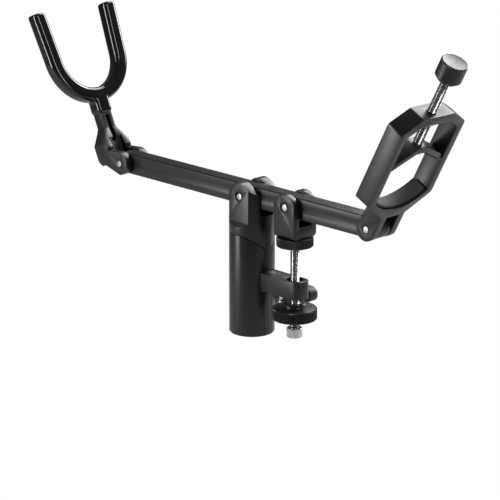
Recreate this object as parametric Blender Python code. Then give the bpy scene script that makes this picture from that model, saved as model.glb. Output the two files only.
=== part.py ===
"""Holder that carries a boom pole on a light stand.

A socket barrel slides over the stand's stud. A cross bar pivots on the head casting above it and
carries a dipped fork at one end and a clamping ring at the other. A thumb wheel on a vertical
screw sets the bar's tilt. Lengths are metres, angles are degrees, and +Z points up.
The origin is the centre of the socket's mouth, and the bar runs along X.
"""

import math

import bmesh
import bpy
from mathutils import Matrix, Vector

# Clearances
SEAT_GAP = 0.0003            # between two pieces that are fixed to each other
SLIDE_GAP = 0.0003           # between a clevis cheek and the bar it holds
PIN_GAP = 0.00009            # radial, between a pin and its hole
THREAD_GAP = 0.00012         # radial, between a screw and its thread
ROUND_STEPS = 40             # facets round a turned piece

# Barrel and stand socket
BARREL_RADIUS = 0.0148
BARREL_EDGE = 0.0007
SOCKET_RADIUS = 0.0081
SOCKET_DEPTH = 0.045
SEAM_HEIGHT = 0.0678
BOLT_RADIUS = 0.0025
BOLT_HEAD_RADIUS = 0.0043
BOLT_HEAD_HEIGHT = 0.005
BOLT_REACH = 0.0078          # how far the bolt enters the head casting

# Spine of the head casting, let into the barrel
SPINE_HALF_WIDTH = 0.003
SPINE_DEPTH = 0.0027
SPINE_TOP = 0.0593
WEDGE_HALF_WIDTH = 0.0142
WEDGE_FACE = 0.0042          # distance of the wedge's back face from the barrel's axis

# Stand lock
LOCK_HEIGHT = 0.019
LOCK_BOSS_RADIUS = 0.0065
LOCK_BOSS_END = 0.0195
LOCK_SCREW_RADIUS = 0.0039
LOCK_PAD_LENGTH = 0.0015
LOCK_STAND_OFF = 0.0075      # bare thread between the boss and the handle
LOCK_HUB_RADIUS = 0.0056
LOCK_HUB_LENGTH = 0.0165
LOCK_WING_REACH = 0.0185
LOCK_WING_HALF_HEIGHT = 0.005
LOCK_WING_THICKNESS = 0.0068

# Head casting
PIVOT_HEIGHT = 0.0924
HEAD_HALF_WIDTH = 0.01205
HEAD_EAR_RADIUS = 0.0092
HEAD_FLAT_DROP = 0.0165      # how far the flats reach below the pivot
HEAD_RUN_OUT = 0.0036
HEAD_SLOT_DROP = 0.0122
EAR_CHAMFER_DROP = 0.0067    # fall of the sloping ear top for each centimetre outwards

# Cross bar
BAR_WIDTH = 0.0106
BAR_HEIGHT = 0.0139
BAR_EDGE = 0.0005
FORK_REACH = 0.1165
RING_REACH = 0.1081
LINK_REACH = 0.0386

# Pins
PIN_RADIUS = 0.0024
PIN_SUNK = 0.0003
RECESS_RADIUS = 0.0032
RECESS_DEPTH = 0.0012

# Arm that the tilt screw passes through
ARM_BOTTOM = 0.0316
ARM_THICKNESS = 0.0118
ARM_HALF_WIDTH = 0.0063
ARM_OVERHANG = 0.009
ARM_CORNER = 0.005
ARM_HOLE_RADIUS = 0.0053

# Link clevis, tilt screw, lock nut and wheel
LINK_HALF_WIDTH = 0.0102
LINK_HALF_LENGTH = 0.009
LINK_TOP = 0.0085
LINK_DROP = 0.0203
LINK_WEB = 0.0077
LINK_CORNER = 0.003
SCREW_RADIUS = 0.003
SCREW_HEAD_RADIUS = 0.00505
SCREW_HEAD_HEIGHT = 0.0063
SCREW_HEAD_TOP = 0.0113      # height of the cap head's top above the socket mouth
HEX_KEY_RADIUS = 0.0029
HEX_KEY_DEPTH = 0.0034
LOCK_NUT_RADIUS = 0.0119
LOCK_NUT_HEIGHT = 0.0061
WHEEL_RADIUS = 0.0145
WHEEL_THICKNESS = 0.0078
WHEEL_BOTTOM = 0.0171
HUB_RADIUS = 0.0073
HUB_HEIGHT = 0.0031
HUB_WAIST = 0.0062
INSERT_RADIUS = 0.0046

# Fork
FORK_LEAN = 24.0
FORK_SET_BACK = 0.014        # the fork's plane lies this far behind its pin
FORK_HALF_WIDTH = 0.0106
FORK_EAR_RADIUS = 0.0078
FORK_CURVE_RADIUS = 0.0283
FORK_CURVE_HEIGHT = 0.0785
FORK_TIP_HEIGHT = 0.1115
FORK_FLARE = 0.0026
FORK_POCKET = 0.0098
COAT_HALF = 0.0051
COAT_CORNER = 0.003
COAT_THICKNESS = 0.001
NECK_HALF_WIDTH = 0.0045
NECK_BACK = 0.0181
NECK_FRONT = 0.0099
COAT_END = 0.0365            # where the dip stops on the neck
CHANNEL_HALF_WIDTH = 0.0017
CHANNEL_DEPTH = 0.003

# Ring
RING_LEAN = 27.6
RING_SHIFT = 0.00085         # the ring's middle plane lies this far ahead of its pin
RING_HALF_WIDTH = 0.028
RING_WALL = 0.005
RING_HALF_DEPTH = 0.00635
RING_CORNER_HEIGHT = 0.0272
RING_SHOULDER = 0.0822
RING_TOP = 0.0908
RING_TOP_WALL = 0.006
RING_TOP_HALF = 0.0134
RING_BOTTOM = 0.0148
RING_NECK_HALF = 0.0104
LUG_RADIUS = 0.0072
SEAT_RADIUS = 0.031
SEAT_HEIGHT = 0.0215
SEAT_PAD_THICKNESS = 0.0014
SEAT_PAD_HALF_DEPTH = 0.0046

# Jaw, clamping screw and knob
JAW_HALF_WIDTH = 0.0213
JAW_HALF_DEPTH = 0.0056
JAW_TOP = 0.0662
JAW_END = 0.0574
JAW_THICKNESS = 0.0038
JAW_CROWN_HALF = 0.0042
JAW_PAD_THICKNESS = 0.0011
CLIP_RADIUS = 0.0036
CLIP_THICKNESS = 0.0007
NECK_RADIUS = 0.0023
KNOB_RADIUS = 0.0084
KNOB_BOTTOM = 0.1126
KNOB_HEIGHT = 0.0139
KNOB_TAPER = 0.0028
KNOB_FOOT_RADIUS = 0.0057
KNOB_CAP = 0.0035

# Derived sizes
SLOT_HALF = BAR_WIDTH / 2 + SLIDE_GAP
PIN_HOLE = PIN_RADIUS + PIN_GAP
SCREW_HOLE = SCREW_RADIUS + THREAD_GAP
INSERT_HOLE = INSERT_RADIUS + THREAD_GAP
SPINE_INNER = BARREL_RADIUS - SPINE_DEPTH
BAR_END = BAR_HEIGHT / 2
RING_INNER = RING_HALF_WIDTH - RING_WALL
LINK_ORIGIN = PIVOT_HEIGHT
FAR = 0.08                   # longer than any cut needs to be


# ---------------------------------------------------------------- scene and materials

def clear_scene():
    """Remove every object that the file holds."""
    for item in list(bpy.data.objects):
        bpy.data.objects.remove(item, do_unlink=True)


def material(name, colour, roughness, metallic):
    """Return a plain Principled material."""
    finish = bpy.data.materials.new(name)
    finish.use_nodes = True
    shader = finish.node_tree.nodes["Principled BSDF"]
    shader.inputs["Base Color"].default_value = (*colour, 1.0)
    shader.inputs["Roughness"].default_value = roughness
    shader.inputs["Metallic"].default_value = metallic
    finish.diffuse_color = (*colour, 1.0)
    return finish


def joint_frame(name, place, lean=0.0, parent=None):
    """Return an empty at a joint, turned about Y by lean degrees."""
    frame = bpy.data.objects.new(name, None)
    frame.empty_display_size = 0.01
    bpy.context.collection.objects.link(frame)
    frame.location = place
    frame.rotation_euler = (0.0, math.radians(lean), 0.0)
    frame.parent = parent
    return frame


# ---------------------------------------------------------------- outlines

def arc(centre, radius, start, end, steps):
    """Return points on an arc from start to end degrees, both ends included."""
    points = []
    for step in range(steps + 1):
        angle = math.radians(start + (end - start) * step / steps)
        points.append((centre[0] + radius * math.cos(angle), centre[1] + radius * math.sin(angle)))
    return points


def rounded(corners, steps=5):
    """Return a closed outline whose corners (u, v, radius) are filleted."""
    points = []
    count = len(corners)
    for index, (u, v, radius) in enumerate(corners):
        corner = Vector((u, v))
        before = Vector(corners[index - 1][:2]) - corner
        after = Vector(corners[(index + 1) % count][:2]) - corner
        if radius <= 0.0:
            points.append((u, v))
            continue
        half = before.angle(after) / 2
        reach = min(radius / math.tan(half), 0.49 * before.length, 0.49 * after.length)
        true_radius = reach * math.tan(half)
        centre = corner + (before.normalized() + after.normalized()).normalized() * true_radius / math.sin(half)
        first = corner + before.normalized() * reach - centre
        last = corner + after.normalized() * reach - centre
        sweep = first.angle_signed(last)
        for step in range(steps + 1):
            turned = first.copy()
            turned.rotate(Matrix.Rotation(-sweep * step / steps, 2))
            points.append(tuple(centre + turned))
    return points


def mirrored(half):
    """Return an outline from its right half, listed from bottom to top."""
    return half + [(-u, v) for u, v in reversed(half) if u > 1e-9]


# ---------------------------------------------------------------- solids

def finish_object(name, mesh_data, finish, parent, cutter=False):
    """Turn a bmesh into an object with outward faces."""
    bmesh.ops.remove_doubles(mesh_data, verts=mesh_data.verts, dist=1e-7)
    bmesh.ops.recalc_face_normals(mesh_data, faces=mesh_data.faces)
    mesh = bpy.data.meshes.new(name)
    mesh_data.to_mesh(mesh)
    mesh_data.free()
    item = bpy.data.objects.new(name, mesh)
    bpy.context.collection.objects.link(item)
    item.parent = parent
    if finish is not None:
        mesh.materials.append(finish)
    mesh.shade_smooth()
    mesh.set_sharp_from_angle(angle=math.radians(30))
    if cutter:
        item.hide_render = True
        item.display_type = "WIRE"
    return item


def prism(name, outline, axis, low, high, finish=None, parent=None, cutter=False):
    """Extrude an outline along X, Y or Z. The outline holds the other two coordinates in order."""
    data = bmesh.new()
    places = {
        "X": lambda u, v, w: (w, u, v),
        "Y": lambda u, v, w: (u, w, v),
        "Z": lambda u, v, w: (u, v, w),
    }
    place = places[axis]
    verts = [data.verts.new(place(u, v, low)) for u, v in outline]
    face = data.faces.new(verts)
    extruded = bmesh.ops.extrude_face_region(data, geom=[face])
    moved = [item for item in extruded["geom"] if isinstance(item, bmesh.types.BMVert)]
    bmesh.ops.translate(data, verts=moved, vec=Vector(place(0.0, 0.0, high - low)))
    return finish_object(name, data, finish, parent, cutter)


def turned(name, profile, axis="Z", centre=(0.0, 0.0, 0.0), finish=None, parent=None, cutter=False,
           steps=ROUND_STEPS):
    """Turn a closed profile of (radius, height) points about an axis through centre."""
    data = bmesh.new()
    verts = [data.verts.new((radius, 0.0, height)) for radius, height in profile]
    edges = [data.edges.new((verts[i], verts[i - 1])) for i in range(1, len(verts))]
    on_axis = profile[0][0] < 1e-9 and profile[-1][0] < 1e-9
    if not on_axis:
        edges.append(data.edges.new((verts[-1], verts[0])))
    bmesh.ops.spin(data, geom=verts + edges, cent=(0, 0, 0), axis=(0, 0, 1), angle=2 * math.pi,
                   steps=steps, use_merge=True, use_duplicate=False)
    bmesh.ops.remove_doubles(data, verts=data.verts, dist=1e-7)
    turn = Matrix.Identity(4)
    if axis == "Y":
        turn = Matrix.Rotation(math.radians(-90), 4, "X")
    bmesh.ops.transform(data, matrix=Matrix.Translation(centre) @ turn, verts=data.verts)
    return finish_object(name, data, finish, parent, cutter)


def boolean(item, tool, operation):
    """Add a live Boolean modifier."""
    modifier = item.modifiers.new(operation.lower(), "BOOLEAN")
    modifier.operation = operation
    modifier.solver = "EXACT"
    modifier.object = tool


def drill(item, name, radius, low, high, axis="Y", centre=(0.0, 0.0, 0.0), steps=28):
    """Cut a round hole along an axis through centre."""
    profile = [(0.0, high), (radius, high), (radius, low), (0.0, low)]
    tool = turned(name, profile, axis, centre, parent=item.parent, cutter=True, steps=steps)
    boolean(item, tool, "DIFFERENCE")


def cut_prism(item, name, outline, axis, low, high, operation="DIFFERENCE"):
    """Cut an extruded outline out of an object, or join or intersect it."""
    tool = prism(name, outline, axis, low, high, parent=item.parent, cutter=True)
    boolean(item, tool, operation)


def pin(name, half_length, finish, parent):
    """A plain pivot pin along Y, its ends chamfered."""
    end = half_length
    edge = 0.0004
    profile = [(0.0, end), (PIN_RADIUS - edge, end), (PIN_RADIUS, end - edge),
               (PIN_RADIUS, edge - end), (PIN_RADIUS - edge, -end), (0.0, -end)]
    return turned(name, profile, "Y", finish=finish, parent=parent, steps=24)


def pin_bore(item, name, half_width, centre=(0.0, 0.0, 0.0)):
    """Cut a pin's hole through a clevis, with a shallow recess at each outer face."""
    floor = half_width - RECESS_DEPTH
    end = half_width + 0.004
    profile = [(0.0, end), (RECESS_RADIUS, end), (RECESS_RADIUS, floor), (PIN_HOLE, floor), (PIN_HOLE, -floor),
               (RECESS_RADIUS, -floor), (RECESS_RADIUS, -end), (0.0, -end)]
    tool = turned(name, profile, "Y", centre, parent=item.parent, cutter=True, steps=28)
    boolean(item, tool, "DIFFERENCE")


# ---------------------------------------------------------------- barrel and stand lock

def wedge_outline(grow):
    """Outline of the head casting's wedge in the YZ plane, grown all round."""
    run = WEDGE_HALF_WIDTH - SPINE_HALF_WIDTH
    rise = SEAM_HEIGHT - SPINE_TOP
    drop = grow * math.hypot(run, rise) / run
    half = [(SPINE_HALF_WIDTH + grow, SPINE_TOP - drop), (WEDGE_HALF_WIDTH + grow, SEAM_HEIGHT - drop),
            (WEDGE_HALF_WIDTH + grow, SEAM_HEIGHT + 0.002)]
    return mirrored(half)


def build_barrel(finish):
    """Socket barrel with the lock's boss and the slots that take the head casting."""
    bolt_hole = BOLT_RADIUS + PIN_GAP
    head_hole = BOLT_HEAD_RADIUS + SEAT_GAP
    head_seat = SOCKET_DEPTH + BOLT_HEAD_HEIGHT + 2 * SEAT_GAP
    top = SEAM_HEIGHT - SEAT_GAP
    profile = [(BARREL_RADIUS, top), (BARREL_RADIUS, BARREL_EDGE), (BARREL_RADIUS - BARREL_EDGE, 0.0),
               (SOCKET_RADIUS, 0.0), (SOCKET_RADIUS, SOCKET_DEPTH), (head_hole, SOCKET_DEPTH),
               (head_hole, head_seat), (bolt_hole, head_seat), (bolt_hole, top)]
    barrel = turned("barrel", profile, finish=finish, steps=56)
    root = BARREL_RADIUS - 0.003
    boss_profile = [(0.0, LOCK_BOSS_END), (LOCK_BOSS_RADIUS - 0.0006, LOCK_BOSS_END),
                    (LOCK_BOSS_RADIUS, LOCK_BOSS_END - 0.0006), (LOCK_BOSS_RADIUS, root), (0.0, root)]
    boss = turned("lock_boss_tool", boss_profile, "Y", (0.0, 0.0, LOCK_HEIGHT), cutter=True, steps=32)
    boolean(barrel, boss, "UNION")
    drill(barrel, "lock_hole_tool", LOCK_SCREW_RADIUS + THREAD_GAP, 0.0, FAR, "Y", (0.0, 0.0, LOCK_HEIGHT))
    slot = SPINE_HALF_WIDTH + SEAT_GAP
    floor = SPINE_INNER - SEAT_GAP
    slot_outline = [(-slot, -0.001), (slot, -0.001), (slot, SPINE_TOP), (-slot, SPINE_TOP)]
    cut_prism(barrel, "spine_slot_tool", slot_outline, "X", floor, FAR)
    cut_prism(barrel, "wedge_slot_tool", wedge_outline(SEAT_GAP), "X", WEDGE_FACE - SEAT_GAP, FAR)
    half = ARM_HALF_WIDTH + SEAT_GAP
    low = ARM_BOTTOM - SEAT_GAP
    high = ARM_BOTTOM + ARM_THICKNESS + SEAT_GAP
    arm_outline = [(-half, low), (half, low), (half, high), (-half, high)]
    cut_prism(barrel, "arm_slot_tool", arm_outline, "X", floor, FAR)
    return barrel


def build_barrel_bolt(finish):
    """Cap bolt that pulls the barrel up to the head casting."""
    low = SOCKET_DEPTH + SEAT_GAP
    seat = low + BOLT_HEAD_HEIGHT
    tip = SEAM_HEIGHT + BOLT_REACH - SEAT_GAP
    profile = [(0.0, tip), (BOLT_RADIUS, tip), (BOLT_RADIUS, seat), (BOLT_HEAD_RADIUS, seat),
               (BOLT_HEAD_RADIUS, low), (0.0, low)]
    return turned("barrel_bolt", profile, finish=finish, steps=24)


def build_lock(frame, steel, plastic, brass):
    """Locking screw, its handle and the pad that presses on the stud."""
    pad_start = SOCKET_RADIUS + 0.0002
    pad_end = pad_start + LOCK_PAD_LENGTH
    pad_radius = LOCK_SCREW_RADIUS - 0.0003
    pad_profile = [(0.0, pad_end), (pad_radius, pad_end), (pad_radius, pad_start), (0.0, pad_start)]
    turned("pressure_pad", pad_profile, "Y", finish=brass, parent=frame, steps=24)
    hub_start = LOCK_BOSS_END + LOCK_STAND_OFF
    hub_end = hub_start + LOCK_HUB_LENGTH
    tip = pad_end + SEAT_GAP
    screw_end = hub_end - 0.004
    screw_profile = [(0.0, screw_end), (LOCK_SCREW_RADIUS, screw_end), (LOCK_SCREW_RADIUS, tip), (0.0, tip)]
    turned("lock_screw", screw_profile, "Y", finish=steel, parent=frame, steps=28)
    hub_profile = [(0.0, hub_end), (LOCK_HUB_RADIUS - 0.001, hub_end), (LOCK_HUB_RADIUS, hub_end - 0.001),
                   (LOCK_HUB_RADIUS, hub_start), (0.0, hub_start)]
    handle = turned("lock_handle", hub_profile, "Y", finish=plastic, parent=frame, steps=32)
    wing = rounded([(-LOCK_WING_REACH, -LOCK_WING_HALF_HEIGHT, LOCK_WING_HALF_HEIGHT * 0.98),
                    (LOCK_WING_REACH, -LOCK_WING_HALF_HEIGHT, LOCK_WING_HALF_HEIGHT * 0.98),
                    (LOCK_WING_REACH, LOCK_WING_HALF_HEIGHT, LOCK_WING_HALF_HEIGHT * 0.98),
                    (-LOCK_WING_REACH, LOCK_WING_HALF_HEIGHT, LOCK_WING_HALF_HEIGHT * 0.98)])
    wing_start = hub_end - 0.001 - LOCK_WING_THICKNESS
    cut_prism(handle, "lock_wing_tool", wing, "Y", wing_start, hub_end - 0.001, "UNION")
    drill(handle, "lock_hub_hole_tool", LOCK_SCREW_RADIUS + THREAD_GAP, hub_start - 0.001,
          screw_end + SEAT_GAP)


# ---------------------------------------------------------------- head casting

def head_profile():
    """Side outline of the head casting, seen along Y, in heights above the socket mouth."""
    pivot = PIVOT_HEIGHT
    ear = HEAD_EAR_RADIUS
    reach = BARREL_RADIUS + 0.001
    slope = EAR_CHAMFER_DROP / 0.01
    start = math.degrees(math.atan2(1.0, slope))
    top = arc((0.0, pivot), ear, start, 180.0, 12)
    right_drop = slope * (reach - top[0][0])
    outline = [(reach, -0.001), (reach, top[0][1] - right_drop)]
    outline += top
    outline += [(-ear, pivot - HEAD_FLAT_DROP + 0.003), (-reach, pivot - HEAD_FLAT_DROP - 0.001), (-reach, -0.001)]
    return outline


def build_head(finish):
    """Head casting: bar clevis, wedge, spine and screw arm in one piece."""
    top = PIVOT_HEIGHT + HEAD_EAR_RADIUS + 0.002
    profile = [(0.0, top), (BARREL_RADIUS, top), (BARREL_RADIUS, BARREL_EDGE),
               (BARREL_RADIUS - BARREL_EDGE, 0.0), (0.0, 0.0)]
    head = turned("head_casting", profile, finish=finish, steps=56)
    cut_prism(head, "head_side_tool", head_profile(), "Y", -FAR, FAR, "INTERSECT")
    clear_half = FAR
    barrel_side = [(-clear_half, -0.001), (clear_half, -0.001), (clear_half, SEAM_HEIGHT),
                   (-clear_half, SEAM_HEIGHT)]
    cut_prism(head, "barrel_space_tool", barrel_side, "X", -FAR, WEDGE_FACE)
    for side in (-1, 1):
        below_wedge = [(side * SPINE_HALF_WIDTH, -0.001), (side * SPINE_HALF_WIDTH, SPINE_TOP),
                       (side * WEDGE_HALF_WIDTH, SEAM_HEIGHT), (side * clear_half, SEAM_HEIGHT),
                       (side * clear_half, -0.001)]
        cut_prism(head, f"wedge_side_tool_{side}", below_wedge, "X", 0.0, FAR)
    behind_spine = [(0.0, -0.001), (SPINE_INNER, -0.001), (SPINE_INNER, SPINE_TOP), (0.0, SPINE_TOP)]
    cut_prism(head, "spine_back_tool", behind_spine, "Y", -FAR, FAR)
    flat_low = PIVOT_HEIGHT - HEAD_FLAT_DROP
    for side in (-1, 1):
        flat = [(side * HEAD_HALF_WIDTH, top + 0.001), (side * HEAD_HALF_WIDTH, flat_low),
                (side * (BARREL_RADIUS + 0.0005), flat_low - HEAD_RUN_OUT), (side * clear_half, flat_low),
                (side * clear_half, top + 0.001)]
        cut_prism(head, f"head_flat_tool_{side}", flat, "X", -FAR, FAR)
    slot = [(-SLOT_HALF, PIVOT_HEIGHT - HEAD_SLOT_DROP), (SLOT_HALF, PIVOT_HEIGHT - HEAD_SLOT_DROP),
            (SLOT_HALF, top + 0.001), (-SLOT_HALF, top + 0.001)]
    cut_prism(head, "bar_slot_tool", slot, "X", -FAR, FAR)
    hole_low = SPINE_TOP
    drill(head, "bolt_hole_tool", BOLT_RADIUS + PIN_GAP, hole_low, SEAM_HEIGHT + BOLT_REACH, "Z")
    pin_bore(head, "head_pin_bore_tool", HEAD_HALF_WIDTH, (0.0, 0.0, PIVOT_HEIGHT))
    end = LINK_REACH + ARM_OVERHANG
    root = SPINE_INNER + 0.0004
    arm = rounded([(root, -ARM_HALF_WIDTH, 0.0), (end, -ARM_HALF_WIDTH, ARM_CORNER),
                   (end, ARM_HALF_WIDTH, ARM_CORNER), (root, ARM_HALF_WIDTH, 0.0)], 7)
    cut_prism(head, "arm_tool", arm, "Z", ARM_BOTTOM, ARM_BOTTOM + ARM_THICKNESS, "UNION")
    drill(head, "arm_hole_tool", ARM_HOLE_RADIUS, 0.0, PIVOT_HEIGHT / 2 + ARM_THICKNESS, "Z",
          (LINK_REACH, 0.0, 0.0), 36)
    return head


# ---------------------------------------------------------------- cross bar

def build_bar(frame, finish):
    """Cross bar with round ends and four pin holes."""
    half = BAR_HEIGHT / 2
    left = -FORK_REACH - BAR_END
    right = RING_REACH + BAR_END
    radius = half * 0.98
    outline = rounded([(left, -half, radius), (right, -half, radius), (right, half, radius),
                       (left, half, radius)], 8)
    bar = prism("bar", outline, "Y", -BAR_WIDTH / 2, BAR_WIDTH / 2, finish, frame)
    bevel = bar.modifiers.new("edges", "BEVEL")
    bevel.width = BAR_EDGE
    bevel.segments = 1
    bevel.limit_method = "ANGLE"
    bevel.angle_limit = math.radians(60)
    for index, place in enumerate((-FORK_REACH, 0.0, LINK_REACH, RING_REACH)):
        drill(bar, f"bar_hole_tool_{index}", PIN_HOLE, -FAR, FAR, "Y", (place, 0.0, 0.0))
    return bar


# ---------------------------------------------------------------- link, tilt screw and wheel

def build_link(frame, finish, steel, black_metal, brass):
    """Link clevis under the bar, its lock nut, the long cap screw and the thumb wheel."""
    section = rounded([(-LINK_HALF_WIDTH, LINK_TOP + 0.002, 0.0), (-LINK_HALF_WIDTH, -LINK_DROP, LINK_CORNER),
                       (LINK_HALF_WIDTH, -LINK_DROP, LINK_CORNER), (LINK_HALF_WIDTH, LINK_TOP + 0.002, 0.0),
                       (SLOT_HALF, LINK_TOP + 0.002, 0.0), (SLOT_HALF, LINK_WEB - LINK_DROP, 0.0015),
                       (-SLOT_HALF, LINK_WEB - LINK_DROP, 0.0015), (-SLOT_HALF, LINK_TOP + 0.002, 0.0)])
    clevis = prism("link_clevis", section, "X", -LINK_HALF_LENGTH, LINK_HALF_LENGTH, finish, frame)
    side = rounded([(-LINK_HALF_LENGTH - 0.0005, -LINK_DROP - 0.001, 0.0),
                    (LINK_HALF_LENGTH + 0.0005, -LINK_DROP - 0.001, 0.0),
                    (LINK_HALF_LENGTH + 0.0005, LINK_TOP, LINK_HALF_LENGTH),
                    (-LINK_HALF_LENGTH - 0.0005, LINK_TOP, LINK_HALF_LENGTH)], 9)
    cut_prism(clevis, "link_side_tool", side, "Y", -FAR, FAR, "INTERSECT")
    pin_bore(clevis, "link_pin_bore_tool", LINK_HALF_WIDTH)
    drill(clevis, "link_screw_hole_tool", SCREW_HOLE, -LINK_DROP - 0.001, 0.0, "Z")
    pin("link_pin", LINK_HALF_WIDTH - PIN_SUNK, steel, frame)

    nut_top = -LINK_DROP - SEAT_GAP
    nut_low = nut_top - LOCK_NUT_HEIGHT
    edge = 0.0005
    nut_profile = [(SCREW_HOLE, nut_top), (LOCK_NUT_RADIUS - edge, nut_top), (LOCK_NUT_RADIUS, nut_top - edge),
                   (LOCK_NUT_RADIUS, nut_low + edge), (LOCK_NUT_RADIUS - edge, nut_low), (SCREW_HOLE, nut_low)]
    turned("lock_nut", nut_profile, finish=black_metal, parent=frame)

    head_top = SCREW_HEAD_TOP - LINK_ORIGIN
    head_low = head_top - SCREW_HEAD_HEIGHT
    tip = LINK_WEB - LINK_DROP - SEAT_GAP
    edge = 0.0005
    screw_profile = [(0.0, tip), (SCREW_RADIUS, tip), (SCREW_RADIUS, head_top), (SCREW_HEAD_RADIUS, head_top),
                     (SCREW_HEAD_RADIUS, head_low + edge), (SCREW_HEAD_RADIUS - edge, head_low), (0.0, head_low)]
    screw = turned("tilt_screw", screw_profile, finish=steel, parent=frame, steps=32)
    hex_outline = arc((0.0, 0.0), HEX_KEY_RADIUS, 0.0, 300.0, 5)
    cut_prism(screw, "hex_tool", hex_outline, "Z", head_low - 0.001, head_low + HEX_KEY_DEPTH)

    low = WHEEL_BOTTOM - LINK_ORIGIN
    rim_top = low + WHEEL_THICKNESS
    hub_top = rim_top + HUB_HEIGHT
    edge = 0.0006
    wheel_profile = [(INSERT_HOLE, hub_top), (HUB_RADIUS, hub_top), (HUB_RADIUS, hub_top - 0.001),
                     (HUB_WAIST, hub_top - 0.0013), (HUB_WAIST, rim_top), (WHEEL_RADIUS - edge, rim_top),
                     (WHEEL_RADIUS, rim_top - edge), (WHEEL_RADIUS, low + edge), (WHEEL_RADIUS - edge, low),
                     (INSERT_HOLE, low)]
    turned("tilt_wheel", wheel_profile, finish=black_metal, parent=frame, steps=48)
    insert_low = low + 0.0004
    insert_top = hub_top - 0.0004
    insert_profile = [(SCREW_HOLE, insert_top), (INSERT_RADIUS, insert_top), (INSERT_RADIUS, insert_low),
                      (SCREW_HOLE, insert_low)]
    turned("wheel_insert", insert_profile, finish=brass, parent=frame, steps=32)


# ---------------------------------------------------------------- fork

def fork_path(tip_height):
    """Centre line of the fork's U in its own plane, from one tip to the other."""
    half = []
    prong = tip_height - FORK_CURVE_HEIGHT
    flare = FORK_FLARE * prong / (FORK_TIP_HEIGHT - FORK_CURVE_HEIGHT)
    for step in range(3):
        share = 1.0 - step / 3
        half.append((FORK_CURVE_RADIUS + flare * share, FORK_CURVE_HEIGHT + prong * share))
    bend = arc((0.0, FORK_CURVE_HEIGHT), FORK_CURVE_RADIUS, 0.0, -180.0, 22)
    other = [(-u, v) for u, v in reversed(half)]
    return half + bend + other


def fork_u(name, half, corner, tip_height, finish=None, parent=None, cutter=False, tip_edge=0.0):
    """Sweep a rounded square along the fork's centre line."""
    path = fork_path(tip_height)
    section = rounded([(-half, -half, corner), (half, -half, corner), (half, half, corner), (-half, half, corner)], 3)
    data = bmesh.new()
    rings = []
    count = len(path)
    stations = []
    for index, point in enumerate(path):
        before = Vector(path[max(index - 1, 0)])
        after = Vector(path[min(index + 1, count - 1)])
        along = (after - before).normalized()
        stations.append((Vector(point), along, 1.0))
    if tip_edge > 0.0:
        small = 1.0 - tip_edge / half
        first, last = stations[0], stations[-1]
        stations.insert(0, (first[0] - first[1] * tip_edge, first[1], small))
        stations.append((last[0] + last[1] * tip_edge, last[1], small))
    for point, along, size in stations:
        across = Vector((-along.y, along.x))
        ring = []
        for u, v in section:
            place = point + across * u * size
            ring.append(data.verts.new((v * size - FORK_SET_BACK, place.x, place.y)))
        rings.append(ring)
    sides = len(section)
    for lower, upper in zip(rings, rings[1:]):
        for side in range(sides):
            following = (side + 1) % sides
            data.faces.new((lower[side], lower[following], upper[following], upper[side]))
    data.faces.new(list(reversed(rings[0])))
    data.faces.new(rings[-1])
    return finish_object(name, data, finish, parent, cutter)


def neck_outline(grow, low):
    """Side outline of the fork's neck from a height up to the curve of the U."""
    top = FORK_CURVE_HEIGHT - FORK_CURVE_RADIUS + grow
    back = -NECK_BACK - grow
    front = grow - NECK_FRONT
    return [(back, low), (front, low), (front, top), (back, top)]


def fork_clevis_outline():
    """Side outline of the fork's clevis, heel and neck, in the fork's own frame."""
    top = FORK_CURVE_HEIGHT - FORK_CURVE_RADIUS
    ear = arc((0.0, 0.0), FORK_EAR_RADIUS, 70.0, -105.0, 14)
    body = rounded([(-0.0160, 0.0009, 0.002), (-0.0196, 0.0060, 0.004), (-0.0197, 0.0160, 0.006),
                    (-NECK_BACK, 0.0250, 0.004), (-NECK_BACK, top, 0.0), (-NECK_FRONT, top, 0.0),
                    (-NECK_FRONT, 0.0265, 0.003), (-0.0064, 0.0122, 0.003)])
    return ear + body


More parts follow.
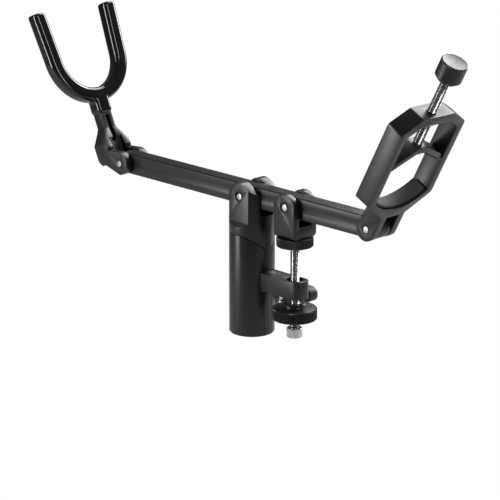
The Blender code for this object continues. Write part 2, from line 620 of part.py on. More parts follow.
def build_fork(frame, casting, vinyl, steel):
    """Fork: a casting with clevis, neck and U, the vinyl dip on the U, and its pivot pin."""
    fork = prism("fork_casting", fork_clevis_outline(), "Y", -FORK_HALF_WIDTH, FORK_HALF_WIDTH, casting, frame)
    shoulder = 0.0165
    waist = 0.0275
    for side in (-1, 1):
        taper = [(side * FORK_HALF_WIDTH, shoulder), (side * (NECK_HALF_WIDTH + 0.0022), waist - 0.004),
                 (side * NECK_HALF_WIDTH, waist), (side * NECK_HALF_WIDTH, FAR), (side * FAR, FAR),
                 (side * FAR, shoulder)]
        cut_prism(fork, f"neck_taper_tool_{side}", taper, "X", -FAR, FAR)
    pocket = [(-FORK_POCKET, -FAR), (FAR, -FAR), (FAR, shoulder + 0.003), (-FORK_POCKET, shoulder + 0.003)]
    cut_prism(fork, "fork_pocket_tool", pocket, "Y", -SLOT_HALF, SLOT_HALF)
    core_half = COAT_HALF - COAT_THICKNESS - SEAT_GAP
    core_tip = FORK_TIP_HEIGHT - COAT_THICKNESS - SEAT_GAP
    core_corner = COAT_CORNER - COAT_THICKNESS
    core = fork_u("core_tool", core_half, core_corner, core_tip, parent=frame, cutter=True)
    boolean(fork, core, "UNION")
    channel = [(-CHANNEL_HALF_WIDTH, shoulder), (CHANNEL_HALF_WIDTH, shoulder),
               (CHANNEL_HALF_WIDTH, COAT_END - 0.001), (-CHANNEL_HALF_WIDTH, COAT_END - 0.001)]
    cut_prism(fork, "channel_tool", channel, "X", -NECK_FRONT - CHANNEL_DEPTH, FAR)
    drill(fork, "fork_pin_hole_tool", PIN_HOLE, -FAR, FAR)

    coat = fork_u("fork_coating", COAT_HALF, COAT_CORNER, FORK_TIP_HEIGHT, vinyl, frame, tip_edge=0.0014)
    grow = COAT_THICKNESS + SEAT_GAP
    half = NECK_HALF_WIDTH + grow
    cut_prism(coat, "sleeve_tool", neck_outline(grow, COAT_END), "Y", -half, half, "UNION")
    hollow_neck = neck_outline(SEAT_GAP, COAT_END - 0.002)
    half = NECK_HALF_WIDTH + SEAT_GAP
    cut_prism(coat, "hollow_neck_tool", hollow_neck, "Y", -half, half)
    hollow = fork_u("hollow_tool", core_half + SEAT_GAP, core_corner + SEAT_GAP, core_tip + SEAT_GAP,
                    parent=frame, cutter=True)
    boolean(coat, hollow, "DIFFERENCE")
    pin("fork_pin", FORK_HALF_WIDTH + PIN_SUNK / 2, steel, frame)


# ---------------------------------------------------------------- ring, jaw and clamping screw

def ring_outline():
    """Outer outline of the ring, seen along its axis."""
    return rounded([(-RING_NECK_HALF, RING_BOTTOM, 0.003), (RING_NECK_HALF, RING_BOTTOM, 0.003),
                    (RING_HALF_WIDTH, RING_CORNER_HEIGHT, 0.0035), (RING_HALF_WIDTH, RING_SHOULDER, 0.003),
                    (RING_TOP_HALF, RING_TOP, 0.003), (-RING_TOP_HALF, RING_TOP, 0.003),
                    (-RING_HALF_WIDTH, RING_SHOULDER, 0.003), (-RING_HALF_WIDTH, RING_CORNER_HEIGHT, 0.0035)])


def seat_arc(radius, half_width, steps=12):
    """Points of a seat arc that shares the pole seat's centre, from right to left."""
    centre = SEAT_HEIGHT + SEAT_RADIUS
    reach = math.degrees(math.asin(half_width / radius))
    return arc((0.0, centre), radius, -90.0 + reach, -90.0 - reach, steps)


def ring_opening():
    """Outline of the ring's opening."""
    inner = RING_INNER
    top = RING_TOP - RING_TOP_WALL
    slope = (RING_TOP - RING_SHOULDER) / (RING_HALF_WIDTH - RING_TOP_HALF)
    top_half = RING_TOP_HALF - 0.0012
    shoulder = top - slope * (inner - top_half)
    seat = seat_arc(SEAT_RADIUS + SEAT_PAD_THICKNESS + SEAT_GAP, inner)
    upper = rounded([(-inner, shoulder, 0.002), (-top_half, top, 0.003), (top_half, top, 0.003),
                     (inner, shoulder, 0.002), (inner, seat[0][1], 0.0), (-inner, seat[0][1], 0.0)])
    return upper[:-2] + seat


def build_ring(frame, casting, rubber, steel):
    """Ring frame with lugs, its pole seat pad and its pivot pin."""
    low = RING_SHIFT - RING_HALF_DEPTH
    high = RING_SHIFT + RING_HALF_DEPTH
    ring = prism("ring_frame", ring_outline(), "X", low, high, casting, frame)
    cut_prism(ring, "ring_opening_tool", ring_opening(), "X", -FAR, FAR)
    lug = arc((0.0, 0.0), LUG_RADIUS, 0.0, -180.0, 14)
    lug += [(low - 0.0004, RING_BOTTOM + 0.002), (high, RING_BOTTOM + 0.002)]
    cut_prism(ring, "lug_tool", lug, "Y", -RING_NECK_HALF, RING_NECK_HALF, "UNION")
    space = [(-FAR, -FAR), (FAR, -FAR), (FAR, RING_BOTTOM - 0.0006), (-FAR, RING_BOTTOM - 0.0006)]
    cut_prism(ring, "lug_space_tool", space, "Y", -SLOT_HALF, SLOT_HALF)
    drill(ring, "ring_pin_hole_tool", PIN_HOLE, -FAR, FAR)
    drill(ring, "clamp_hole_tool", SCREW_HOLE, RING_TOP - RING_TOP_WALL - 0.002, RING_TOP + 0.002, "Z",
          (RING_SHIFT, 0.0, 0.0))
    pad_half = RING_INNER - 0.0012
    outer = seat_arc(SEAT_RADIUS + SEAT_PAD_THICKNESS, pad_half)
    inner = seat_arc(SEAT_RADIUS, pad_half)
    prism("seat_pad", outer + inner[::-1], "X", RING_SHIFT - SEAT_PAD_HALF_DEPTH,
          RING_SHIFT + SEAT_PAD_HALF_DEPTH, rubber, frame)
    pin("ring_pin", RING_NECK_HALF - PIN_SUNK, steel, frame)


def build_jaw(frame, casting, rubber, steel, black_metal):
    """Jaw, its two pads, the clamping screw with its clip, and the knob."""
    drop = JAW_TOP - JAW_END
    crown_low = JAW_TOP - JAW_THICKNESS
    half = [(JAW_CROWN_HALF, crown_low), (JAW_HALF_WIDTH, JAW_END - JAW_THICKNESS),
            (JAW_HALF_WIDTH, JAW_END), (JAW_CROWN_HALF, JAW_TOP)]
    jaw = prism("jaw", mirrored(half), "X", -JAW_HALF_DEPTH, JAW_HALF_DEPTH, casting, frame)
    drill(jaw, "jaw_hole_tool", NECK_RADIUS + THREAD_GAP, crown_low - 0.002, JAW_TOP + 0.002, "Z")
    run = JAW_HALF_WIDTH - JAW_CROWN_HALF
    slope = drop / run
    steep = math.hypot(1.0, slope)
    pad_top = crown_low - SEAT_GAP * steep
    for label, side in (("left", -1), ("right", 1)):
        near = JAW_CROWN_HALF + 0.0012
        far = JAW_HALF_WIDTH - 0.0008
        outline = []
        for u, extra in ((near, 0.0), (far, 0.0), (far, JAW_PAD_THICKNESS), (near, JAW_PAD_THICKNESS)):
            height = pad_top - slope * (u - JAW_CROWN_HALF) - extra * steep
            outline.append((side * u, height))
        prism(f"jaw_pad_{label}", outline, "X", -JAW_HALF_DEPTH + 0.0008, JAW_HALF_DEPTH - 0.0008, rubber, frame)

    clip_top = crown_low - SEAT_GAP
    clip_low = clip_top - CLIP_THICKNESS
    clip_hole = NECK_RADIUS + THREAD_GAP
    clip_profile = [(clip_hole, clip_top), (CLIP_RADIUS, clip_top), (CLIP_RADIUS, clip_low), (clip_hole, clip_low)]
    turned("jaw_clip", clip_profile, finish=steel, parent=frame, steps=24)
    shoulder = JAW_TOP + SEAT_GAP
    tip = clip_low - 0.0004
    knob_top = KNOB_BOTTOM + KNOB_HEIGHT
    screw_top = knob_top - KNOB_CAP
    screw_profile = [(0.0, screw_top), (SCREW_RADIUS, screw_top), (SCREW_RADIUS, shoulder), (NECK_RADIUS, shoulder),
                     (NECK_RADIUS, tip), (0.0, tip)]
    turned("clamp_screw", screw_profile, finish=steel, parent=frame, steps=28)
    edge = 0.0005
    hole_top = screw_top + SEAT_GAP
    knob_profile = [(0.0, knob_top), (KNOB_RADIUS - edge, knob_top), (KNOB_RADIUS, knob_top - edge),
                    (KNOB_RADIUS, KNOB_BOTTOM + KNOB_TAPER), (KNOB_FOOT_RADIUS, KNOB_BOTTOM),
                    (SCREW_HOLE, KNOB_BOTTOM), (SCREW_HOLE, hole_top), (0.0, hole_top)]
    turned("clamp_knob", knob_profile, finish=black_metal, parent=frame)


# ---------------------------------------------------------------- the whole object

def main():
    """Build every piece in its own joint's frame."""
    clear_scene()
    powder = material("powder_coat", (0.022, 0.022, 0.024), 0.55, 0.0)
    black_metal = material("black_oxide", (0.03, 0.03, 0.032), 0.42, 0.6)
    steel = material("bright_steel", (0.78, 0.79, 0.8), 0.25, 1.0)
    brass = material("brass", (0.62, 0.5, 0.26), 0.35, 1.0)
    vinyl = material("vinyl_dip", (0.008, 0.008, 0.009), 0.16, 0.0)
    rubber = material("rubber", (0.03, 0.03, 0.03), 0.8, 0.0)
    plastic = material("black_plastic", (0.02, 0.02, 0.021), 0.5, 0.0)

    build_barrel(powder)
    build_head(powder)
    build_barrel_bolt(steel)
    lock_frame = joint_frame("lock_axis", (0.0, 0.0, LOCK_HEIGHT))
    build_lock(lock_frame, steel, plastic, brass)

    bar_frame = joint_frame("bar_axis", (0.0, 0.0, PIVOT_HEIGHT))
    pin("head_pin", HEAD_HALF_WIDTH - PIN_SUNK, steel, bar_frame)
    build_bar(bar_frame, powder)
    link_frame = joint_frame("link_axis", (LINK_REACH, 0.0, 0.0), parent=bar_frame)
    build_link(link_frame, powder, steel, black_metal, brass)
    fork_frame = joint_frame("fork_axis", (-FORK_REACH, 0.0, 0.0), -FORK_LEAN, bar_frame)
    build_fork(fork_frame, powder, vinyl, steel)
    ring_frame = joint_frame("ring_axis", (RING_REACH, 0.0, 0.0), RING_LEAN, bar_frame)
    build_ring(ring_frame, powder, rubber, steel)
    clamp_frame = joint_frame("clamp_axis", (RING_SHIFT, 0.0, 0.0), parent=ring_frame)
    build_jaw(clamp_frame, powder, rubber, steel, black_metal)
    bpy.context.view_layer.update()


main()
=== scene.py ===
"""Finished look of a holder that carries a boom pole on a light stand. Lengths are metres, and +Z points up."""

import math

import bpy
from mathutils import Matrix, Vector


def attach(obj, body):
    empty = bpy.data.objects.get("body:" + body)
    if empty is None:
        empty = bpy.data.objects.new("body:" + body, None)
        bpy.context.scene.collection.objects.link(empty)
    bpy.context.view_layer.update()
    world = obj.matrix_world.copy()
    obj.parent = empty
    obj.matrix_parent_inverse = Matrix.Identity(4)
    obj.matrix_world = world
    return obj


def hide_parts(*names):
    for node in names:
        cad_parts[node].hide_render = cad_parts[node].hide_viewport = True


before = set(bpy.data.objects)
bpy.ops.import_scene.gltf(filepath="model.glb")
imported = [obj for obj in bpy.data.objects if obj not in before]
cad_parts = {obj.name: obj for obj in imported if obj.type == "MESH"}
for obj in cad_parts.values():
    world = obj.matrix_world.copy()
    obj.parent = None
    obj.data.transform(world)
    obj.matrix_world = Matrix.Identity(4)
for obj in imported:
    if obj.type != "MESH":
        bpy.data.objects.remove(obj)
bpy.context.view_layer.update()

bl_info = {
    "name": "Boom pole holder",
    "version": (1, 0, 0),
    "blender": (4, 5, 0),
    "location": "View3D > Sidebar > Holder",
    "description": "Builds the finished look of a boom pole holder",
    "category": "Add Mesh",
}

MM = 0.001
RING_LEAN = math.radians(27.6)
FORK_LEAN = math.radians(-24.0)


# ---------------------------------------------------------------- settings

class HolderSizes(bpy.types.PropertyGroup):
    """Sizes that a user would change."""

    pivot_height: bpy.props.FloatProperty(
        name="Pivot height", description="Height of the cross bar's axis", default=0.0924, unit="LENGTH")
    fork_reach: bpy.props.FloatProperty(
        name="Fork reach", description="Distance from the head pin to the fork's pin", default=0.1165, unit="LENGTH")
    ring_reach: bpy.props.FloatProperty(
        name="Ring reach", description="Distance from the head pin to the ring's pin", default=0.1081, unit="LENGTH")
    link_reach: bpy.props.FloatProperty(
        name="Link reach", description="Distance from the head pin to the tilt rod", default=0.0386, unit="LENGTH")
    thread_pitch: bpy.props.FloatProperty(
        name="Thread pitch", description="Pitch of the tilt rod and the clamping screw", default=0.001, unit="LENGTH")
    wheel_teeth: bpy.props.IntProperty(
        name="Wheel teeth", description="Serrations round the tilt wheel", default=72, min=12)
    nut_teeth: bpy.props.IntProperty(
        name="Nut teeth", description="Serrations round the lock nut", default=60, min=12)


class HolderColours(bpy.types.PropertyGroup):
    """Colours that a user would change."""

    powder: bpy.props.FloatVectorProperty(
        name="Powder coat", description="Paint on the castings", subtype="COLOR", size=3,
        default=(0.008, 0.008, 0.0085))
    vinyl: bpy.props.FloatVectorProperty(
        name="Vinyl dip", description="Coating on the fork", subtype="COLOR", size=3, default=(0.003, 0.003, 0.0033))
    oxide: bpy.props.FloatVectorProperty(
        name="Turned parts", description="Wheel, nut and knob", subtype="COLOR", size=3,
        default=(0.008, 0.008, 0.0085))
    steel: bpy.props.FloatVectorProperty(
        name="Steel", description="Screws and pins", subtype="COLOR", size=3, default=(0.6, 0.61, 0.62))
    rubber: bpy.props.FloatVectorProperty(
        name="Rubber", description="Pole pads", subtype="COLOR", size=3, default=(0.028, 0.028, 0.029))
    brass: bpy.props.FloatVectorProperty(
        name="Brass", description="Threaded insert", subtype="COLOR", size=3, default=(0.58, 0.43, 0.2))


def sizes():
    """The scene's size settings."""
    return bpy.context.scene.holder_sizes


def colours():
    """The scene's colour settings."""
    return bpy.context.scene.holder_colours


# ---------------------------------------------------------------- node wrapper and materials

class Value:
    """A socket that arithmetic works on."""

    def __init__(self, tree, socket):
        self.tree = tree
        self.socket = socket

    def make(self, kind, inputs=None, output=0, **settings):
        """Add a node, set its inputs from numbers or values, and return one output."""
        item = self.tree.nodes.new(kind)
        for key, value in settings.items():
            setattr(item, key, value)
        for key, value in (inputs or {}).items():
            if isinstance(value, Value):
                self.tree.links.new(value.socket, item.inputs[key])
            else:
                item.inputs[key].default_value = value
        return Value(self.tree, item.outputs[output])

    def math(self, operation, first, second=0.0):
        return self.make("ShaderNodeMath", {0: first, 1: second}, operation=operation)

    def __add__(self, other):
        return self.math("ADD", self, other)

    def __radd__(self, other):
        return self.math("ADD", other, self)

    def __sub__(self, other):
        return self.math("SUBTRACT", self, other)

    def __rsub__(self, other):
        return self.math("SUBTRACT", other, self)

    def __mul__(self, other):
        return self.math("MULTIPLY", self, other)

    def __rmul__(self, other):
        return self.math("MULTIPLY", other, self)

    def __truediv__(self, other):
        return self.math("DIVIDE", self, other)

    def __rtruediv__(self, other):
        return self.math("DIVIDE", other, self)

    def noise(self, scale, detail=3.0):
        return self.make("ShaderNodeTexNoise", {"Vector": self, "Scale": scale, "Detail": detail})

    def ranged(self, low, high):
        """Map a noise value's middle range to low and high."""
        return self.make("ShaderNodeMapRange", {0: self, 1: 0.3, 2: 0.7, 3: low, 4: high})

    def tint(self, dark, light):
        return self.make("ShaderNodeMix", {0: self, 6: (*dark, 1.0), 7: (*light, 1.0)}, 2, data_type="RGBA")


def scaled(colour, factor):
    return tuple(min(part * factor, 1.0) for part in colour)


def start(name):
    """Make an empty material and return it with its object coordinates and shader."""
    finish = bpy.data.materials.new(name)
    finish.use_nodes = True
    tree = finish.node_tree
    shader = tree.nodes["Principled BSDF"]
    place = tree.nodes.new("ShaderNodeTexCoord")
    return finish, Value(tree, place.outputs["Object"]), shader


def connect(shader, **links):
    """Feed a shader's inputs, named with underscores for spaces."""
    for name, value in links.items():
        key = name.replace("_", " ")
        if isinstance(value, Value):
            value.tree.links.new(value.socket, shader.inputs[key])
        else:
            shader.inputs[key].default_value = value


def bumped(height, distance, strength=1.0):
    return height.make("ShaderNodeBump", {"Height": height, "Distance": distance, "Strength": strength})


def powder_material():
    """Fine-grained matte powder coat with a little handling wear."""
    finish, place, shader = start("powder_coat_finish")
    base = colours().powder
    grain = place.noise(2600.0, 2.0)
    cloud = place.noise(45.0, 4.0)
    connect(shader, Base_Color=(cloud * 0.6 + grain * 0.4).ranged(0.0, 1.0).tint(scaled(base, 0.75), scaled(base, 1.5)),
            Roughness=cloud.ranged(0.3, 0.36) + grain.ranged(-0.03, 0.04),
            Normal=bumped(grain, 0.00003, 0.6))
    return finish


def vinyl_material():
    """Thick glossy dip with slow runs and small pits."""
    finish, place, shader = start("vinyl_dip_finish")
    base = colours().vinyl
    run = place.noise(70.0, 1.0)
    pit = place.noise(900.0, 2.0)
    connect(shader, Base_Color=run.ranged(0.0, 1.0).tint(scaled(base, 0.8), scaled(base, 1.5)),
            Roughness=pit.ranged(0.09, 0.16), Normal=bumped(run + pit * 0.01, 0.00025, 0.5))
    connect(shader, Coat_Weight=0.35, Coat_Roughness=0.05)
    return finish


def steel_material():
    """Bright zinc-plated steel with turning marks."""
    finish, place, shader = start("bright_steel_finish")
    base = colours().steel
    spot = place.noise(500.0, 3.0)
    line = place.make("ShaderNodeMapping", {"Vector": place, "Scale": (300.0, 300.0, 9000.0)}).noise(1.0, 2.0)
    connect(shader, Base_Color=spot.ranged(0.0, 1.0).tint(scaled(base, 0.86), scaled(base, 1.12)),
            Roughness=spot.ranged(0.17, 0.3), Normal=bumped(line, 0.000004, 0.3))
    connect(shader, Metallic=1.0)
    return finish


def oxide_material():
    """Satin black of the wheel and the nut, its tone varying a little at random."""
    finish, place, shader = start("black_oxide_finish")
    base = colours().oxide
    spot = place.noise(700.0, 3.0)
    cloud = place.noise(120.0, 2.0)
    connect(shader, Base_Color=cloud.ranged(0.0, 1.0).tint(scaled(base, 0.7), scaled(base, 1.7)),
            Roughness=spot.ranged(0.3, 0.44), Normal=bumped(spot, 0.00002, 0.5))
    return finish


def rubber_material():
    finish, place, shader = start("rubber_finish")
    base = colours().rubber
    grain = place.noise(1500.0, 3.0)
    cloud = place.noise(80.0, 3.0)
    connect(shader, Base_Color=cloud.ranged(0.0, 1.0).tint(scaled(base, 0.8), scaled(base, 1.4)),
            Roughness=grain.ranged(0.62, 0.8), Normal=bumped(grain, 0.00006, 0.5))
    return finish


def brass_material():
    finish, place, shader = start("brass_finish")
    base = colours().brass
    spot = place.noise(600.0, 3.0)
    connect(shader, Base_Color=spot.ranged(0.0, 1.0).tint(scaled(base, 0.75), scaled(base, 1.15)),
            Roughness=spot.ranged(0.25, 0.42), Normal=bumped(spot, 0.00001, 0.4))
    connect(shader, Metallic=1.0)
    return finish


def plastic_material():
    finish, place, shader = start("black_plastic_finish")
    base = colours().powder
    grain = place.noise(1900.0, 2.0)
    connect(shader, Base_Color=grain.ranged(0.0, 1.0).tint(scaled(base, 0.9), scaled(base, 1.3)),
            Roughness=grain.ranged(0.42, 0.55), Normal=bumped(grain, 0.00004, 0.5))
    return finish


MAKERS = {
    "powder_coat": powder_material, "vinyl_dip": vinyl_material, "bright_steel": steel_material,
    "black_oxide": oxide_material, "rubber": rubber_material, "brass": brass_material,
    "black_plastic": plastic_material,
}


def finish_for(name):
    """The finish of that name, made the first time it is asked for."""
    found = bpy.data.materials.get(name + "_finish")
    return found or MAKERS[name]()


def dress(item, finish, body=None, slot=None, *nodes):
    """Give a piece its finish and body, and hide the nodes that it replaces. The slot argument is not used."""
    item.data.materials.clear()
    item.data.materials.append(finish_for(finish))
    if nodes:
        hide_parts(*nodes)
    if body:
        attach(item, body)
    return item


# ---------------------------------------------------------------- modelling tools

def select_only(item):
    bpy.ops.object.select_all(action="DESELECT")
    item.select_set(True)
    bpy.context.view_layer.objects.active = item


def edit(item, select="SELECT"):
    select_only(item)
    bpy.ops.object.mode_set(mode="EDIT")
    bpy.ops.mesh.select_mode(type="VERT")
    bpy.ops.mesh.select_all(action=select)


def leave():
    bpy.ops.object.mode_set(mode="OBJECT")


def place_piece(item, lean=0.0, place=(0.0, 0.0, 0.0)):
    """Turn and move a finished mesh, and leave its object at the origin."""
    select_only(item)
    item.rotation_euler = (0.0, lean, 0.0)
    item.location = Vector(place) + item.location
    bpy.ops.object.transform_apply(location=True, rotation=True, scale=True)


def smooth(item, angle=35.0):
    select_only(item)
    bpy.ops.object.shade_smooth_by_angle(angle=math.radians(angle))


def apply_modifier(item, kind, name, **settings):
    select_only(item)
    modifier = item.modifiers.new(name, kind)
    for key, value in settings.items():
        setattr(modifier, key, value)
    bpy.ops.object.modifier_apply(modifier=modifier.name)


def softened(node, width, angle=32.0):
    """Copy a CAD node and round its edges."""
    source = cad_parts[node]
    item = bpy.data.objects.new(node + "_finished", source.data.copy())
    bpy.context.collection.objects.link(item)
    edit(item)
    bpy.ops.mesh.remove_doubles(threshold=0.000002)
    bpy.ops.mesh.dissolve_limited(angle_limit=math.radians(1.0))
    leave()
    apply_modifier(item, "BEVEL", "rounded edges", width=width, segments=3, limit_method="ANGLE",
                   angle_limit=math.radians(angle), harden_normals=False, use_clamp_overlap=True)
    smooth(item, 40.0)
    return item


def turned_piece(name, stations, steps, solid=False):
    """Extrude a circle through (radius, height) stations. A piece that isn't solid closes on its first station."""
    radius, height = stations[0]
    bpy.ops.object.select_all(action="DESELECT")
    bpy.ops.mesh.primitive_circle_add(vertices=steps, radius=radius, location=(0.0, 0.0, height),
                                      fill_type="NGON" if solid else "NOTHING")
    item = bpy.context.active_object
    item.name = name
    place_piece(item)
    edit(item)
    path = stations[1:] + ([] if solid else stations[:1])
    for following, level in path:
        bpy.ops.mesh.extrude_region_move(TRANSFORM_OT_translate={"value": (0.0, 0.0, level - height)})
        ratio = following / radius
        bpy.ops.transform.resize(value=(ratio, ratio, 1.0), center_override=(0.0, 0.0, level))
        radius, height = following, level
    bpy.ops.mesh.select_all(action="SELECT")
    bpy.ops.mesh.remove_doubles(threshold=0.000002)
    bpy.ops.mesh.normals_make_consistent(inside=False)
    leave()
    return item


def serrate(item, limit, steps, ratio, rise=0.0):
    """Pull every other column of vertices outside a radius inwards. With a rise, rows alternate as well."""
    edit(item, "DESELECT")
    leave()
    for vertex in item.data.vertices:
        flat = math.hypot(vertex.co.x, vertex.co.y)
        column = round(math.atan2(vertex.co.y, vertex.co.x) / (2.0 * math.pi) * steps)
        row = round(vertex.co.z / rise) if rise else 0
        vertex.select = flat > limit and (column + row) % 2 == 1
    bpy.ops.object.mode_set(mode="EDIT")
    bpy.ops.transform.resize(value=(ratio, ratio, 1.0), center_override=(0.0, 0.0, 0.0))
    leave()


def threaded(name, radius, pitch, low, high):
    """A helical thread from low to high about Z."""
    depth = 0.6 * pitch
    bpy.ops.object.select_all(action="DESELECT")
    bpy.ops.mesh.primitive_circle_add(vertices=3, radius=radius, fill_type="NOTHING")
    item = bpy.context.active_object
    item.name = name
    points = ((radius, pitch), (radius - depth, pitch / 2), (radius, 0.0))
    for vertex, (out, up) in zip(item.data.vertices, points):
        vertex.co = (out, 0.0, low + up)
    edit(item, "DESELECT")
    leave()
    item.data.vertices[0].select = True
    item.data.vertices[2].select = True
    bpy.ops.object.mode_set(mode="EDIT")
    bpy.ops.mesh.select_mode(type="EDGE")
    bpy.ops.mesh.delete(type="EDGE")
    leave()
    turns = int((high - low) / pitch) - 1
    apply_modifier(item, "SCREW", "thread", angle=2.0 * math.pi, screw_offset=pitch, iterations=turns, steps=24,
                   render_steps=24, use_merge_vertices=True, merge_threshold=0.000001, use_smooth_shade=False)
    edit(item)
    bpy.ops.mesh.remove_doubles(threshold=0.000001)
    bpy.ops.mesh.normals_make_consistent(inside=False)
    leave()
    return item


def joined(name, *items):
    """Join pieces into the first one."""
    bpy.ops.object.select_all(action="DESELECT")
    for item in items:
        item.select_set(True)
    bpy.context.view_layer.objects.active = items[0]
    bpy.ops.object.join()
    items[0].name = name
    return items[0]


# ---------------------------------------------------------------- operators

class HOLDER_OT_castings(bpy.types.Operator):
    """Round the edges of the painted castings and the bar"""

    bl_idname = "holder.castings"
    bl_label = "Painted castings"

    def execute(self, context):
        for node, body, width in (
                ("barrel", "post", 0.35), ("head_casting", "post", 0.4), ("bar", "cross_bar", 0.3),
                ("link_clevis", "link", 0.5), ("ring_frame", "ring", 1.4), ("jaw", "clamp_jaw", 0.7),
                ("fork_casting", "fork", 0.5)):
            dress(softened(node, width * MM), "powder_coat", body, None, node)
        dress(softened("lock_handle", 0.8 * MM), "black_plastic", "stand_lock", None, "lock_handle")
        return {"FINISHED"}


class HOLDER_OT_fork_coating(bpy.types.Operator):
    """Sweep the dipped U of the fork and blend it into its neck"""

    bl_idname = "holder.fork_coating"
    bl_label = "Fork coating"

    def execute(self, context):
        half, curve, middle, back = 5.1 * MM, 28.3 * MM, 78.5 * MM, -14.0 * MM
        rise, flare = 33.0 * MM, 2.6 * MM
        bpy.ops.object.select_all(action="DESELECT")
        bpy.ops.mesh.primitive_plane_add(size=2.0 * half, location=(back, curve, middle))
        item = context.active_object
        item.name = "fork_coating_finished"
        place_piece(item)
        edit(item)
        bpy.ops.mesh.bevel(offset=3.0 * MM, segments=4, affect="VERTICES")
        bpy.ops.mesh.select_all(action="SELECT")
        bpy.ops.mesh.spin(steps=40, angle=math.pi, center=(back, 0.0, middle), axis=(1.0, 0.0, 0.0))
        self.prong(-flare, rise)
        leave()
        edit(item, "DESELECT")
        leave()
        for vertex in item.data.vertices:
            vertex.select = vertex.co.y > 0.0 and abs(vertex.co.z - middle) < 0.1 * MM
        bpy.ops.object.mode_set(mode="EDIT")
        bpy.ops.mesh.edge_face_add()
        self.prong(flare, rise)
        bpy.ops.mesh.select_all(action="SELECT")
        bpy.ops.mesh.remove_doubles(threshold=0.000002)
        bpy.ops.mesh.normals_make_consistent(inside=False)
        leave()
        neck = self.neck()
        apply_modifier(item, "BOOLEAN", "neck", operation="UNION", solver="EXACT", object=neck)
        bpy.data.objects.remove(neck, do_unlink=True)
        apply_modifier(item, "REMESH", "even skin", mode="VOXEL", voxel_size=0.00045)
        apply_modifier(item, "SMOOTH", "dip", factor=0.5, iterations=30)
        place_piece(item, FORK_LEAN, (-sizes().fork_reach, 0.0, sizes().pivot_height))
        smooth(item, 60.0)
        dress(item, "vinyl_dip", "fork", None, "fork_coating")
        return {"FINISHED"}

    def prong(self, flare, rise):
        """Extrude the selected end upwards and round its tip."""
        for out, up, size in ((flare, rise - 1.0 * MM, 1.0), (0.0, 0.7 * MM, 0.93), (0.0, 0.3 * MM, 0.82)):
            bpy.ops.mesh.extrude_region_move(TRANSFORM_OT_translate={"value": (0.0, out, up)})
            bpy.ops.transform.resize(value=(size, size, 1.0))

    def neck(self):
        """Sleeve of the dip down the fork's neck, a box with rounded edges."""
        bpy.ops.object.select_all(action="DESELECT")
        bpy.ops.mesh.primitive_cube_add(size=1.0)
        item = bpy.context.active_object
        item.scale = (0.0108, 0.0116, 0.014)
        place_piece(item, 0.0, (-0.014, 0.0, 0.0437))
        edit(item)
        bpy.ops.mesh.bevel(offset=2.0 * MM, segments=3)
        leave()
        return item


class HOLDER_OT_tilt_screw(bpy.types.Operator):
    """Cut the tilt rod's thread and shape its cap head"""

    bl_idname = "holder.tilt_screw"
    bl_label = "Tilt screw"

    def execute(self, context):
        radius = 3.0 * MM
        thread = threaded("tilt_screw_finished", radius, sizes().thread_pitch, 11.4 * MM, 80.0 * MM)
        head = turned_piece("cap_head", [
            (radius * 0.8, 11.9 * MM), (4.7 * MM, 11.3 * MM), (5.05 * MM, 10.9 * MM), (5.05 * MM, 5.6 * MM),
            (4.5 * MM, 5.0 * MM), (3.0 * MM, 5.0 * MM), (2.6 * MM, 5.4 * MM), (2.6 * MM, 8.4 * MM)], 72, True)
        serrate(head, 5.0 * MM, 72, 0.975)
        smooth(head, 20.0)
        smooth(thread, 15.0)
        item = joined("tilt_screw_finished", thread, head)
        place_piece(item, 0.0, (sizes().link_reach, 0.0, 0.0))
        dress(item, "bright_steel", "link", None, "tilt_screw")
        return {"FINISHED"}


class HOLDER_OT_tilt_wheel(bpy.types.Operator):
    """Turn the serrated tilt wheel and its grooved hub"""

    bl_idname = "holder.tilt_wheel"
    bl_label = "Tilt wheel"

    def execute(self, context):
        stations = [(4.8, 28.0), (6.9, 28.0), (7.3, 27.7), (7.3, 27.0), (6.3, 26.6), (6.1, 25.9), (6.4, 25.2),
                    (12.6, 24.9), (13.9, 24.7), (14.5, 24.1), (14.5, 17.9), (13.9, 17.3), (12.6, 17.1), (4.8, 17.1)]
        steps = sizes().wheel_teeth * 2
        item = turned_piece("tilt_wheel_finished", [(r * MM, z * MM) for r, z in stations], steps)
        serrate(item, 14.2 * MM, steps, 0.955)
        place_piece(item, 0.0, (sizes().link_reach, 0.0, 0.0))
        smooth(item, 22.0)
        dress(item, "black_oxide", "wheel", None, "tilt_wheel")
        return {"FINISHED"}


class HOLDER_OT_lock_nut(bpy.types.Operator):
    """Turn the serrated lock nut under the link"""

    bl_idname = "holder.lock_nut"
    bl_label = "Lock nut"

    def execute(self, context):
        stations = [(3.15, 71.8), (10.9, 71.8), (11.5, 71.6), (11.9, 71.1), (11.9, 66.4), (11.5, 65.9),
                    (10.9, 65.7), (3.15, 65.7)]
        steps = sizes().nut_teeth * 2
        item = turned_piece("lock_nut_finished", [(r * MM, z * MM) for r, z in stations], steps)
        serrate(item, 11.6 * MM, steps, 0.96)
        place_piece(item, 0.0, (sizes().link_reach, 0.0, 0.0))
        smooth(item, 22.0)
        dress(item, "black_oxide", "nut", None, "lock_nut")
        return {"FINISHED"}


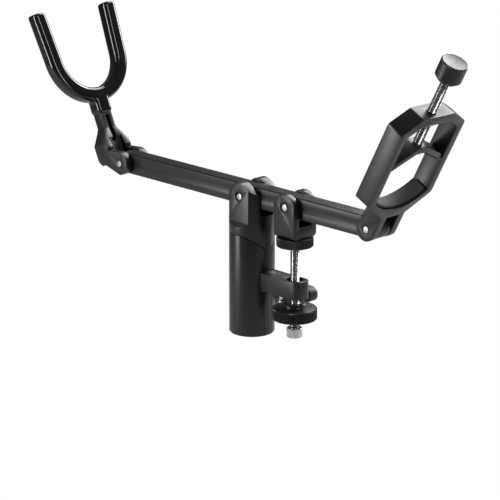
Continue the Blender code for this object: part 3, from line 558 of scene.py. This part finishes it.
class HOLDER_OT_clamp(bpy.types.Operator):
    """Cut the clamping screw's thread and turn the knurled knob"""

    bl_idname = "holder.clamp"
    bl_label = "Clamping screw and knob"

    def execute(self, context):
        place = (sizes().ring_reach + 0.85 * MM * math.cos(RING_LEAN), 0.0,
                 sizes().pivot_height - 0.85 * MM * math.sin(RING_LEAN))
        thread = threaded("clamp_screw_finished", 3.0 * MM, sizes().thread_pitch, 66.6 * MM, 123.0 * MM)
        neck = turned_piece("screw_neck", [(2.3 * MM, 67.6 * MM), (2.3 * MM, 61.1 * MM), (1.9 * MM, 60.9 * MM)],
                            32, True)
        smooth(neck)
        smooth(thread, 15.0)
        item = joined("clamp_screw_finished", thread, neck)
        place_piece(item, RING_LEAN, place)
        dress(item, "bright_steel", "clamp_spindle", None, "clamp_screw")
        steps, row = 132, 0.4 * MM
        rows = [(8.4 * MM, row * level) for level in range(289, 315)]
        knob = turned_piece("clamp_knob_finished", [
            (3.2 * MM, 112.6 * MM), (5.6 * MM, 112.6 * MM), (8.2 * MM, 115.25 * MM), *rows,
            (8.15 * MM, 126.2 * MM), (7.7 * MM, 126.5 * MM), (7.2 * MM, 126.35 * MM)], steps, True)
        serrate(knob, 8.3 * MM, steps, 0.965, row)
        place_piece(knob, RING_LEAN, place)
        smooth(knob, 20.0)
        dress(knob, "black_oxide", "clamp_spindle", "black_oxide", "clamp_knob")
        return {"FINISHED"}


class HOLDER_OT_small_parts(bpy.types.Operator):
    """Round and finish the pins, pads and other small parts"""

    bl_idname = "holder.small_parts"
    bl_label = "Small parts"

    def execute(self, context):
        for node, body, finish, width in (
                ("fork_pin", "fork", "bright_steel", 0.15), ("head_pin", "post", "bright_steel", 0.15),
                ("link_pin", "link", "bright_steel", 0.15), ("ring_pin", "ring", "bright_steel", 0.15),
                ("seat_pad", "ring", "rubber", 0.4), ("jaw_pad_left", "clamp_jaw", "rubber", 0.3),
                ("jaw_pad_right", "clamp_jaw", "rubber", 0.3), ("jaw_clip", "clamp_jaw", "bright_steel", 0.1)):
            dress(softened(node, width * MM), finish, body, None, node)
        for node, finish in (("barrel_bolt", "bright_steel"), ("lock_screw", "bright_steel"),
                             ("pressure_pad", "brass"), ("wheel_insert", "brass")):
            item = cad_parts[node]
            item.data.materials.clear()
            item.data.materials.append(finish_for(finish))
        return {"FINISHED"}


class HOLDER_OT_stage(bpy.types.Operator):
    """Set up the floor, the lights, the white background and the camera"""

    bl_idname = "holder.stage"
    bl_label = "Stage"

    def execute(self, context):
        turn, rise = math.radians(45.36), math.radians(16.69)
        back = Vector((math.sin(turn) * math.cos(rise), -math.cos(turn) * math.cos(rise), math.sin(rise)))
        right = Vector((math.cos(turn), math.sin(turn), 0.0))
        up = back.cross(right)
        middle = Vector((0.0, 0.0, 0.06))
        data = bpy.data.cameras.new("camera")
        data.lens = 171.67
        data.sensor_width = 36.0
        camera = bpy.data.objects.new("camera", data)
        context.collection.objects.link(camera)
        camera.location = middle + back * 1.53707 - right * 0.00128 - up * 0.00519
        camera.rotation_euler = back.to_track_quat("Z", "Y").to_euler()
        context.scene.camera = camera
        for name, side, front, height, width, tall, power in (
                ("left softbox", -1.0, 0.3, 0.1, 0.2, 1.1, 9.0),
                ("right softbox", 0.85, -0.5, 0.7, 0.4, 0.6, 10.0),
                ("front softbox", 0.75, 0.85, 0.3, 0.15, 1.0, 5.0),
                ("top softbox", 0.5, -0.45, 1.0, 1.0, 0.6, 12.0)):
            light = bpy.data.lights.new(name, "AREA")
            light.shape = "RECTANGLE"
            light.size = width
            light.size_y = tall
            light.energy = power
            lamp = bpy.data.objects.new(name, light)
            context.collection.objects.link(lamp)
            lamp.location = middle + right * side + back * front + up * height
            lamp.rotation_euler = (lamp.location - middle).to_track_quat("Z", "Y").to_euler()
        bpy.ops.object.select_all(action="DESELECT")
        bpy.ops.mesh.primitive_plane_add(size=8.0, location=(0.0, 0.0, -0.12))
        floor = context.active_object
        floor.name = "floor"
        floor.data.materials.append(self.white("floor_finish"))
        world = bpy.data.worlds.new("white world")
        context.scene.world = world
        world.use_nodes = True
        tree = world.node_tree
        seen = Value(tree, tree.nodes.new("ShaderNodeLightPath").outputs["Is Camera Ray"])
        tree.links.new((seen * 0.89 + 0.11).socket, tree.nodes["Background"].inputs["Strength"])
        tree.nodes["Background"].inputs["Color"].default_value = (1.0, 1.0, 1.0, 1.0)
        context.scene.view_settings.view_transform = "Standard"
        return {"FINISHED"}

    def white(self, name):
        """Pale floor that the camera sees as white."""
        finish = bpy.data.materials.new(name)
        finish.use_nodes = True
        tree = finish.node_tree
        shader = tree.nodes["Principled BSDF"]
        shader.inputs["Base Color"].default_value = (0.5, 0.5, 0.5, 1.0)
        shader.inputs["Roughness"].default_value = 0.9
        glow = tree.nodes.new("ShaderNodeEmission")
        mix = tree.nodes.new("ShaderNodeMixShader")
        path = tree.nodes.new("ShaderNodeLightPath")
        tree.links.new(path.outputs["Is Camera Ray"], mix.inputs[0])
        tree.links.new(shader.outputs[0], mix.inputs[1])
        tree.links.new(glow.outputs[0], mix.inputs[2])
        tree.links.new(mix.outputs[0], tree.nodes["Material Output"].inputs["Surface"])
        return finish


OPERATORS = (HOLDER_OT_castings, HOLDER_OT_fork_coating, HOLDER_OT_tilt_screw, HOLDER_OT_tilt_wheel,
             HOLDER_OT_lock_nut, HOLDER_OT_clamp, HOLDER_OT_small_parts, HOLDER_OT_stage)


class HOLDER_PT_panel(bpy.types.Panel):
    """Lists the holder's pieces and settings"""

    bl_idname = "HOLDER_PT_panel"
    bl_label = "Boom pole holder"
    bl_space_type = "VIEW_3D"
    bl_region_type = "UI"
    bl_category = "Holder"

    def draw(self, context):
        for kind in OPERATORS:
            self.layout.operator(kind.bl_idname)
        for group in (context.scene.holder_sizes, context.scene.holder_colours):
            for name in group.__annotations__:
                self.layout.prop(group, name)


CLASSES = (HolderSizes, HolderColours, *OPERATORS, HOLDER_PT_panel)


def register():
    for kind in CLASSES:
        bpy.utils.register_class(kind)
    bpy.types.Scene.holder_sizes = bpy.props.PointerProperty(type=HolderSizes)
    bpy.types.Scene.holder_colours = bpy.props.PointerProperty(type=HolderColours)


def unregister():
    del bpy.types.Scene.holder_colours
    del bpy.types.Scene.holder_sizes
    for kind in reversed(CLASSES):
        bpy.utils.unregister_class(kind)


def main():
    """Build every piece."""
    register()
    for kind in OPERATORS:
        group, name = kind.bl_idname.split(".")
        getattr(getattr(bpy.ops, group), name)()


if __name__ == "__main__":
    main()
